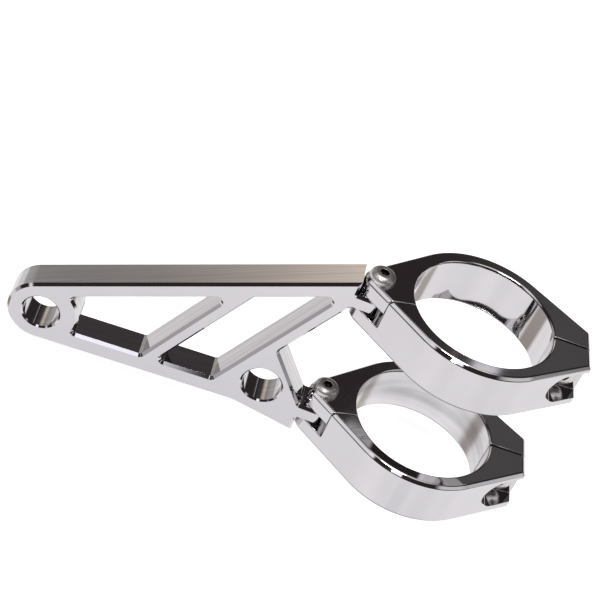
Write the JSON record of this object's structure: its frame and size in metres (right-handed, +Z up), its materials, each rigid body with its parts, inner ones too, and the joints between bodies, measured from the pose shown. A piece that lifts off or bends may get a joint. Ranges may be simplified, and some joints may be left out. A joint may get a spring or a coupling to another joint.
{
  "type": "headlight mounting bracket",
  "caption": "Fork-mount headlight bracket: an open flat arm with an eye for the lamp, hinged on split clamps that grip a fork tube.",
  "frame": {"origin": "on the fork's axis, half way up the lower clamp", "axes": "+Z up along the fork tube, -X towards the hinge and the lamp's eye, -Y towards the clamp screws' heads"},
  "size_m": [0.1553, 0.0502, 0.0627],
  "materials": {
    "polished arm": "mirror polished and plated",
    "polished clamp": "mirror polished and plated",
    "bright screw": "satin stainless steel",
    "clamp screw": "satin stainless steel, knurled head"
  },
  "bodies": {
    "lower_clamp": {"lower_rear_half": "polished clamp", "lower_front_half": "polished clamp", "lower_hinge_screw": "bright screw", "lower_clamp_screw": "clamp screw"},
    "arm": {"arm": "polished arm"},
    "upper_clamp": {"upper_rear_half": "polished clamp", "upper_front_half": "polished clamp", "upper_hinge_screw": "bright screw", "upper_clamp_screw": "clamp screw"}
  },
  "joints": [
    {"name": "arm_swing", "type": "hinge", "parent": "lower_clamp", "child": "arm", "pos_m": [-0.0302, 0, 0], "axis": [0, 0, 1], "range_deg": [-45, 45]},
    {"name": "upper_clamp_swivel", "type": "hinge", "parent": "arm", "child": "upper_clamp", "pos_m": [-0.0302, 0, 0.0442], "axis": [0, 0, 1], "range_deg": [-45, 45]}
  ],
  "couplings": [
    {"joint": "upper_clamp_swivel", "follows": "arm_swing", "ratio": -1}
  ]
}
